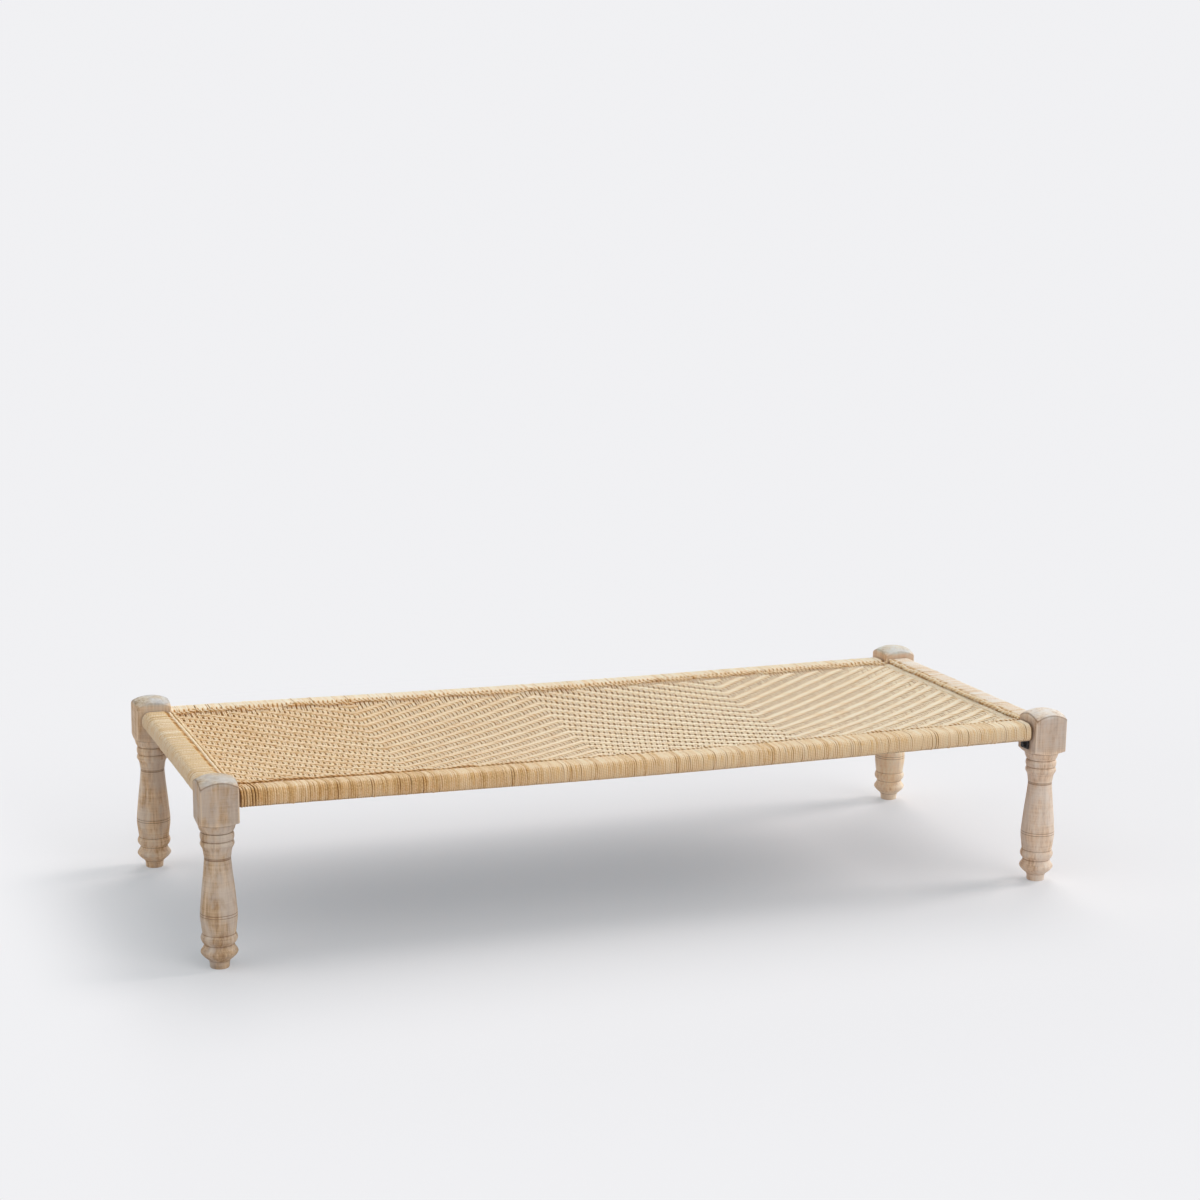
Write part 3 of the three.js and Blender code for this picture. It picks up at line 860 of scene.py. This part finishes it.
def make_wrap(side, middle, span, bow, loose, look, material, seed):
    """One rail's wrap. bow gives how far the rail lies lower along its run."""
    along_x = side in ("front", "back")
    inner = 1 if side in ("front", "right") else -1
    draw = np.random.default_rng(seed)
    coil = Coil(span)
    inward = coil.way[:, 0] * inner
    sink = FRONT_SINK * (side == "front") * ((coil.place[:, 0] > 0) & (coil.place[:, 1] > 0))
    run, across, up = wound_path(coil, span, bow, loose, sink, draw, seed)
    path = np.stack([run, across, up] if along_x else [-across, run, up], -1) + np.array(middle)
    side_way = ALONG_X if along_x else ALONG_Y
    name = f"{side}_wrap_turns"
    piece = tubes(name, path[None], TURN_RADIUS, WRAP_SIDES, side_way, [0], TURN_FLAT)

    painted_light, tone = turn_colours(coil, look, run / span + 0.5, along_x, draw)
    shade = turn_shade(coil, look, draw, seed)
    x = vertex_places(piece)[:-2, 0].reshape(shade.shape) if side == "back" else path[:, :1]
    shade = np.maximum(shade, beside_shade(side, coil, inward[:, None], x, seed + 8))
    set_value(piece, "tone", np.append(np.repeat(tone, WRAP_SIDES), [0.5, 0.5]))
    set_value(piece, "painted_light", np.append(np.repeat(painted_light, WRAP_SIDES), [0, 0]))
    set_value(piece, "deep", np.append(shade.ravel(), [1, 1]))
    finish_piece(piece, material, f"{side}_rail_wrap")


def level_rail(run):
    return 0 * run


def right_rail(run):
    """How far the right wrap lies below the model's: it rises to its back end."""
    return RIGHT_RISE * (-0.5 - run / SHORT_SPAN)


def back_rail(run):
    return rail_bow(run) + BACK_DROP


def make_wraps():
    front, back = (0, -RAIL_Y, RAIL_Z), (0, RAIL_Y, RAIL_Z)
    left, right = (-RAIL_X, 0, RAIL_Z), (RAIL_X, 0, RAIL_Z)
    make_wrap("front", front, LONG_SPAN, rail_bow, LOOSE_TURNS, FRONT_LOOK, wrap_cord, 101)
    make_wrap("back", back, LONG_SPAN, back_rail, 0, BACK_LOOK, wrap_cord, 202)
    make_wrap("left", left, SHORT_SPAN, level_rail, 0, LEFT_LOOK, left_wrap_cord, 303)
    make_wrap("right", right, SHORT_SPAN, right_rail, 0, RIGHT_LOOK, right_wrap_cord, 404)


def lower_rail(name, drop):
    """The wood inside a wrap that lies lower than the model's."""
    moved_copy("lowered", name, Matrix.Translation((0, 0, -drop)), rail_wood)


# How much less the head of the front left bracket's bolt stands out than the model's
SHALLOWER = 4.5 * MM


def shallow_bolt(name, less):
    """A bracket bolt drawn in along its length from its head."""
    low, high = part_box(name)
    shorten = Matrix.Scale(1 - less / (high[0] - low[0]), 4, (1, 0, 0))
    to_low = Matrix.Translation((low[0], 0, 0))
    moved_copy("shallow", name, to_low @ shorten @ to_low.inverted(), steel)


# Edge cords: two plies twisted round each other. Each lies lower than the model's and pushed nearer the
# rail. ply_share is a ply's radius by the cord's, and the last three are painted shades.
EdgeCord = namedtuple("EdgeCord", "node lay thickness lower pushed sway ply_share crevice by_rail under")
EDGE_CORDS = (
    EdgeCord("front_edge_cord", *mm(20.9, 7.4, 0.1, 0.0, 2.0), 0.52, 1.2, 0.8, 0.9),
    EdgeCord("back_edge_cord", *mm(20.9, 6.2, 3.2, 0.0, 4.4), 0.54, 1.2, 0.0, 0.7),
    EdgeCord("left_edge_cord", *mm(52.0, 11.0, 1.4, 4.4, 0.6), 0.66, 0.5, 1.0, 0.9),
    EdgeCord("left_heading_cord", *mm(26.0, 6.5, 3.5, 5.5, 0.6), 0.6, 1.0, 0.6, 0.4),
    EdgeCord("right_edge_cord", *mm(30.0, 8.5, -2.4, 5.6, 2.2), 0.56, 0.7, 0.2, 0.3),
    EdgeCord("right_heading_cord", *mm(16.2, 9.5, 8.5, 6.6, 0.6), 0.6, 0.3, 0.3, 0.0),
)
EDGE_STEPS_PER_LAY = 12
PLY_SIDES = 10
PLY_TONES = (0.5, 0.65)
TWIST_NOISE = 0.6
PLY_NOISE = 0.08
# Depth between the plies, as a share of the cord's radius, over which painted shade darkens its colour
PLY_CREVICE_SHARE = 0.5
# At the bed's left and right ends: the share of painted light, and how squarely a cord faces the rail
# where its shade starts
EDGE_PAINTED_LIGHT = (0.8, 1.0)
BY_RAIL_ENDS = (0.45, 0.75)
BY_RAIL_WIDTH = 0.2
# Shares of the shade by the rail and of that underneath, in the bed's left quarter and its right half
BY_RAIL_SHARES = (1.0, 0.25)
UNDER_SHARES = (1.0, 0.3)
UNDER_FROM = 0.1
UNDER_WIDTH = 0.25


def cord_core(cord, low, high, axis, seed):
    """A twisted cord's middle line: places along it, across the bed and up."""
    outward = np.sign(low[1 - axis] + high[1 - axis])
    steps = int((high[axis] - low[axis]) / cord.lay * EDGE_STEPS_PER_LAY)
    run = np.linspace(low[axis], high[axis], steps)
    middle = (low[1 - axis] + high[1 - axis]) / 2 + outward * cord.pushed
    across = middle + cord.sway * ripple(steps, 12, seed)
    up = high[2] - cord.thickness / 2 - cord.lower + cord.sway / 2 * ripple(steps, 10, seed + 2)
    if axis == 0:
        up = up - rail_bow(run)
    return run, across, up


def shade_edge_cord(piece, cord, axis, run, across, up):
    """Paints shade on a cord between its plies, toward the rail and underneath, and more light toward the
    right.
    """
    places = vertex_places(piece)
    x = places[:, 0]
    out = places[:, 1 - axis] - np.interp(places[:, axis], run, across)
    out = out * np.sign(across.mean())
    above = places[:, 2] - np.interp(places[:, axis], run, up)
    from_core = np.hypot(out, above)
    half = cord.thickness / 2
    crevice = cord.crevice * np.clip((1 - from_core / half) / PLY_CREVICE_SHARE, 0, 1)
    ends = (-INNER_X, INNER_X)
    left_part = (-INNER_X / 2, 0)
    shade_end = np.interp(x, ends, BY_RAIL_ENDS)
    by_rail = cord.by_rail * np.interp(x, left_part, BY_RAIL_SHARES)
    by_rail = by_rail * np.clip((out / from_core - shade_end) / BY_RAIL_WIDTH, 0, 1)
    under = cord.under * np.interp(x, left_part, UNDER_SHARES)
    under = under * np.clip(UNDER_FROM - above / (UNDER_WIDTH * cord.thickness), 0, 1)
    set_value(piece, "deep", np.maximum(np.maximum(crevice, by_rail), under))
    set_value(piece, "painted_light", np.interp(x, ends, EDGE_PAINTED_LIGHT))


def make_edge_cord(cord, seed):
    low, high = (np.array(corner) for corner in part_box(cord.node))
    axis = 0 if high[0] - low[0] > high[1] - low[1] else 1
    run, across, up = cord_core(cord, low, high, axis, seed)
    ply = cord.thickness / 2 * cord.ply_share
    reach = cord.thickness / 2 - ply
    twist = TWIST_NOISE * ripple(len(run), 20, seed + 1)
    paths, radii = [], []
    for half in range(2):
        angle = 2 * np.pi * (run / cord.lay + half / 2) + twist
        ply_across = across + reach * np.cos(angle)
        x, y = (run, ply_across) if axis == 0 else (ply_across, run)
        paths.append(np.stack([x, y, up + reach * np.sin(angle)], -1))
        radii.append(ply * (1 + PLY_NOISE * ripple(len(run), 4, seed + 3 + half)))
    side_way = ALONG_Y if axis == 0 else ALONG_X
    name = cord.node.replace("cord", "twisted_cord")
    piece = tubes(name, np.array(paths), np.array(radii), PLY_SIDES, side_way, PLY_TONES)
    shade_edge_cord(piece, cord, axis, run, across, up)
    finish_piece(piece, edge_cord, cord.node)


def make_edge_cords():
    for number, cord in enumerate(EDGE_CORDS):
        make_edge_cord(cord, 700 + 10 * number)


# Legs, in millimetres: height and radius of each turned member from the floor up
TURNED_MEMBERS = (
    ((0, 18.3), (2, 19.1), (9, 19.5), (15, 20.9)),
    ((15, 20.9), (24, 31.2), (33, 36.7), (41.7, 31.6), (48, 29)),
    ((48, 29), (54.5, 34.1), (61.5, 36), (67.3, 34.1), (70, 32.6)),
    ((70, 32.6), (87.5, 34.9), (106.4, 36.7), (131.2, 35), (163.2, 31.9), (195.3, 28.3), (222, 26)),
    ((222, 26), (239.9, 28.6), (246.3, 31.6), (250.7, 33.4), (256, 32.3), (258.5, 29.8)),
    ((258.5, 29.8), (260.2, 32.2), (265, 33.3), (270.5, 33.1), (273.3, 32), (274.9, 29.4)),
    ((274.9, 29.4), (276.2, 31.8), (282.8, 35.2), (291.5, 37.4)),
)
CURVE_STEPS = 40
# The lathe's grooves, and the creases at each member's ends: both get painted shade
GROOVES = (107.2, 112.2, 220.4, 224)
GROOVE_DEPTH = 0.8
GROOVE_WIDTH = 0.55
CREASE_WIDTH = 0.6
CREASE_SHADE = 0.85
ROW_STEP = 2.6
LEAST_ROW_STEP = 0.05
# Distances from a groove or a member's end at which the leg has rows of its own
NEAR_ROWS = (0, 0.45, 0.9, 1.5)
FOOT_DISC = 10.0
# The square head: where its sloping shoulder starts and ends, its domed top and its rounded edges
SHOULDER = (291.5, 297)
SHOULDER_ROWS = (0.35, 0.7, 0.93)
SHOULDER_EDGE = (0.15, 0.5)
HEAD_ROWS = np.linspace(0.03, 0.9, 14)
DOME_ROWS = (0.85, 0.7, 0.55, 0.4, 0.25, 0.1, 0.0)
DOME_DROP = 18.5
DOME_POWER = 2.5
EDGE_SOFT = 3.0
# How far round the soft upper edge each of its rows lies, and how dark its painted shade is there
EDGE_ROWS = ((0, 0.0), (0.25, 0.5), (0.5, 1.0), (0.75, 0.5), (1, 0.0))
FRONT_EDGE_SHADE = 0.75
BACK_EDGE_SHADE = 0.2
HEAD_EDGE = 3.0
FLAT_STEPS = 18
EDGE_STEPS = 6
# How far above a head's lowest top edge its top's tint starts, the heights over which that and the planed
# sides fade in, and how near a corner the painted highlight lies
HEAD_TOP_FROM = 2
HEAD_TOP_OVER = 6
PLANED_OVER = 4
UPRIGHT_EDGE = 0.4
# How far the head of each leg stands off the upright of its foot, along the bed
LEG_LEAN = {"leg_front_left": -2.1 * MM, "leg_front_right": 2.4 * MM}
WELD = 0.01 * MM


def spline(points, steps):
    """A Catmull-Rom curve through the points."""
    points = np.array(points, float)
    padded = np.vstack([2 * points[0] - points[1], points, 2 * points[-1] - points[-2]])
    at = np.linspace(0, len(points) - 1, steps + 1)
    low = np.minimum(at.astype(int), len(points) - 2)
    t = (at - low)[:, None]
    a, b, c, d = (padded[low + i] for i in range(4))
    return 0.5 * (2 * b + (c - a) * t + (2 * a - 5 * b + 4 * c - d) * t**2 + (3 * b - a - 3 * c + d) * t**3)


def square_reach(angle):
    """Distance from the axis to the head's rounded square, by angle."""
    half = HEAD_SIDE / MM / 2
    flat = np.abs(np.stack([np.cos(angle), np.sin(angle)], -1))
    low, high = flat.min(-1), flat.max(-1)
    straight = half / high
    inner = half - HEAD_EDGE
    along = inner * (low + high)
    corner = along + np.sqrt(np.maximum(along**2 - 2 * inner**2 + HEAD_EDGE**2, 0))
    return np.where(straight * low > inner, corner, straight)


def head_angles():
    """Directions round a leg: even over the head's flats, and closer at its corners."""
    half = HEAD_SIDE / MM / 2
    turn = math.atan2(half - HEAD_EDGE, half)
    flat = np.linspace(-turn, turn, FLAT_STEPS, endpoint=False)
    edge = np.linspace(turn, math.pi / 2 - turn, EDGE_STEPS, endpoint=False)
    quarter = np.concatenate([flat, edge])
    return np.concatenate([quarter + corner * math.pi / 2 for corner in range(4)])


def member_heights(low, high, grooves):
    """Heights of a turned member's rows: evenly up it, and closer at its ends and grooves."""
    heights = set(np.linspace(low, high, int((high - low) / ROW_STEP) + 2))
    heights.update(low + away for away in NEAR_ROWS)
    heights.update(high - away for away in NEAR_ROWS)
    for place in grooves:
        heights.update(place + side * away for away in NEAR_ROWS for side in (-1, 1))
    return sorted(heights)


def turned_rows():
    """Height, radius and shade of each row of the turned part."""
    rows = []
    for member in TURNED_MEMBERS:
        curve = spline(member, CURVE_STEPS)
        low, high = curve[0][0], curve[-1][0]
        grooves = [place for place in GROOVES if low < place < high]
        for height in member_heights(low, high, grooves):
            if rows and height - rows[-1][0] < LEAST_ROW_STEP:
                continue
            cut = max([math.exp(-((height - place) / GROOVE_WIDTH) ** 2) for place in grooves], default=0)
            from_end = min(height - low if low else high, high - height)
            crease = CREASE_SHADE * math.exp(-(from_end / CREASE_WIDTH) ** 2)
            radius = np.interp(height, curve[:, 0], curve[:, 1]) - GROOVE_DEPTH * cut
            rows.append((height, radius, max(cut, crease)))
    return rows


def dome(radius, reach):
    return LEG_HEIGHT / MM - DOME_DROP * (radius / reach.max()) ** DOME_POWER


def head_rows(reach, edge_shade):
    """Radius, height and shade of each row of the head."""
    foot = TURNED_MEMBERS[-1][-1][1]
    shoulder = SHOULDER[1] - SHOULDER[0]
    low_edge = SHOULDER[0] + shoulder * (reach - foot) / (reach.max() - foot)
    top_edge = dome(reach, reach)
    rows = []
    for share in SHOULDER_ROWS:
        rows.append((foot + (reach - foot) * share, SHOULDER[0] + (low_edge - SHOULDER[0]) * share, 0.0))
    rows.append((reach - SHOULDER_EDGE[0], low_edge + SHOULDER_EDGE[1], 0.0))
    for share in HEAD_ROWS:
        rows.append((reach, low_edge + (top_edge - low_edge) * share, 0.0))
    inner = reach - EDGE_SOFT
    inner_top = dome(inner, reach)
    for t, shade in EDGE_ROWS:
        radius = (1 - t) ** 2 * reach + 2 * t * (1 - t) * reach + t**2 * inner
        height = (1 - t) ** 2 * (top_edge - EDGE_SOFT) + 2 * t * (1 - t) * top_edge + t**2 * inner_top
        rows.append((radius, height, edge_shade * shade))
    for share in DOME_ROWS:
        rows.append((inner * share, dome(inner * share, reach), 0.0))
    return rows


def make_leg(name, x, y, material, edge_shade):
    angle = head_angles()
    reach = square_reach(angle)
    level = np.ones(len(angle))
    rows = [(0 * level, 0 * level, 0.0), (FOOT_DISC * level, 0 * level, 0.0)]
    rows += [(radius * level, height * level, shade) for height, radius, shade in turned_rows()]
    rows += head_rows(reach, edge_shade)
    radii = np.array([radius for radius, _, _ in rows])
    heights = np.array([height for _, height, _ in rows])
    lean = LEG_LEAN.get(name, 0) * (heights * MM / LEG_HEIGHT) ** 2
    across = radii * MM
    points = np.stack([x + lean + across * np.cos(angle), y + across * np.sin(angle), heights * MM], -1)

    low_top = dome(reach, reach).min()
    head_top = np.clip((heights - low_top - HEAD_TOP_FROM) / HEAD_TOP_OVER, 0, 1)
    planed = np.clip((heights - SHOULDER[1]) / PLANED_OVER, 0, 1) * (1 - head_top)
    lit_corner = (reach > reach.max() - UPRIGHT_EDGE) & (heights > SHOULDER[1]) & (heights < low_top - EDGE_SOFT)
    crease_shade = np.repeat([shade for _, _, shade in rows], len(angle))
    values = {"crease_shade": crease_shade, "head_top": head_top.ravel(), "planed": planed.ravel(), "lit_corner": lit_corner.ravel()}
    quads = ring_quads(len(rows), len(angle))
    leg = build(f"turned_{name}", points.reshape(-1, 3), [quads], None, values)
    merge = leg.modifiers.new("merge", "WELD")
    merge.merge_threshold = WELD
    finish_piece(leg, material, name)


def make_legs():
    make_leg("leg_front_left", -LEG_X, -LEG_Y, left_wood, FRONT_EDGE_SHADE)
    make_leg("leg_front_right", LEG_X, -LEG_Y, right_wood, FRONT_EDGE_SHADE)
    make_leg("leg_back_left", -LEG_X, LEG_Y, back_left_wood, BACK_EDGE_SHADE)
    make_leg("leg_back_right", LEG_X, LEG_Y, back_right_wood, BACK_EDGE_SHADE)


def dress_frame_nodes():
    """Finishes for the model's own pieces that stay: rails inside the wraps, and steel."""
    for name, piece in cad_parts.items():
        if name.endswith("_rail"):
            dress(piece, rail_wood)
        elif name.startswith("bracket"):
            dress(piece, steel)


# Floor, world and lamps. Lamps and sky together give a level floor the light that shows its own colour.
BACKGROUND = (0.877, 0.877, 0.896)
FLOOR_SHARES = (0.79, 0.73, 0.70)
FLOOR_HALF = 30.0
# The floor turns to the background's colour outside an oval, and past the bed's left end
OVAL = (0.62, 1.0, 1.0)
FADE = (0.95, 2.0)
LEFT_FADE = (-1.04, -1.30)
# The heights between which the sky changes, and its light below and above them
SKY_HEIGHTS = (0.2, 0.55)
SKY_LIGHT = (0.75, 0.07)
# Name, direction round and up in degrees, softness, share of the floor's light
LAMPS = (
    ("key", 4, 32, 22, 0.22),
    ("back", 65, 48, 35, 0.205),
    ("front", 290, 42, 50, 0.16),
    ("left", 182, 55, 50, 0.13),
    ("top", 0, 80, 50, 0.10),
)


def blend_shaders(tree, amount, first, second, output):
    blend = node(tree, "ShaderNodeMixShader")
    feed(tree, blend.inputs, (amount, first, second))
    fill(tree, tree.nodes[output], Surface=blend.outputs["Shader"])


def far_share(tree):
    """0 on the floor about the object, and 1 where the floor shows the background's colour."""
    place = object_place(tree)
    oval = node(tree, "ShaderNodeVectorMath", operation="MULTIPLY")
    feed(tree, oval.inputs, (place, OVAL))
    far = node(tree, "ShaderNodeVectorMath", operation="LENGTH", Vector=oval.outputs["Vector"])
    fade = map_range(tree, far.outputs["Value"], *FADE)
    left_fade = map_range(tree, axis_part(tree, place, "X"), *LEFT_FADE)
    return math_node(tree, "MAXIMUM", fade, left_fade)


def floor_material():
    """A floor that takes shadows, and is lifted to the background's colour where it is seen."""
    material, tree, shader = new_material("floor")
    own = [pale * share for pale, share in zip(BACKGROUND, FLOOR_SHARES)]
    rest = [pale * (1 - share) for pale, share in zip(BACKGROUND, FLOOR_SHARES)]
    fill(tree, shader, Base_Color=own, Roughness=1.0, Specular_IOR_Level=0.0)
    seen = straight_view(tree)
    lift = node(tree, "ShaderNodeEmission", Color=rest, Strength=seen)
    lifted = node(tree, "ShaderNodeAddShader")
    feed(tree, lifted.inputs, (shader.outputs["BSDF"], lift.outputs["Emission"]))
    glow = node(tree, "ShaderNodeEmission", Color=BACKGROUND)
    amount = times(tree, far_share(tree), seen)
    blend_shaders(tree, amount, lifted.outputs["Shader"], glow.outputs["Emission"], "Material Output")
    return material


def make_stage():
    mesh = bpy.data.meshes.new("floor")
    half = FLOOR_HALF
    corners = [(-half, -half, 0), (half, -half, 0), (half, half, 0), (-half, half, 0)]
    mesh.from_pydata(corners, [], [(0, 1, 2, 3)])
    floor = add_object("floor", mesh)
    mesh.materials.append(floor_material())


def make_world():
    world = bpy.data.worlds.new("studio")
    bpy.context.scene.world = world
    world.use_nodes = True
    tree = world.node_tree
    way = node(tree, "ShaderNodeTexCoord").outputs["Generated"]
    height = axis_part(tree, way, "Z")
    strength = map_range(tree, height, *SKY_HEIGHTS, *SKY_LIGHT)
    light = fill(tree, tree.nodes["Background"], Color=WHITE, Strength=strength)
    seen = node(tree, "ShaderNodeBackground", Color=BACKGROUND)
    light_out, seen_out = light.outputs["Background"], seen.outputs["Background"]
    blend_shaders(tree, straight_view(tree), light_out, seen_out, "World Output")


def make_lamps():
    for name, around, up, softness, share in LAMPS:
        around, up = math.radians(around), math.radians(up)
        data = bpy.data.lights.new(name, "SUN")
        data.angle = math.radians(softness)
        data.energy = share * math.pi / math.sin(up)
        lamp = add_object(name, data)
        away = Vector((math.cos(up) * math.cos(around), math.cos(up) * math.sin(around), math.sin(up)))
        lamp.rotation_euler = away.to_track_quat("Z", "Y").to_euler()


make_weave()
make_wraps()
lower_rail("front_rail", FRONT_WOOD_DROP)
lower_rail("back_rail", BACK_DROP)
shallow_bolt("bracket_bolt_front_left", SHALLOWER)
make_edge_cords()
make_legs()
dress_frame_nodes()
make_stage()
make_world()
make_lamps()

bpy.context.scene.view_settings.view_transform = "Standard"
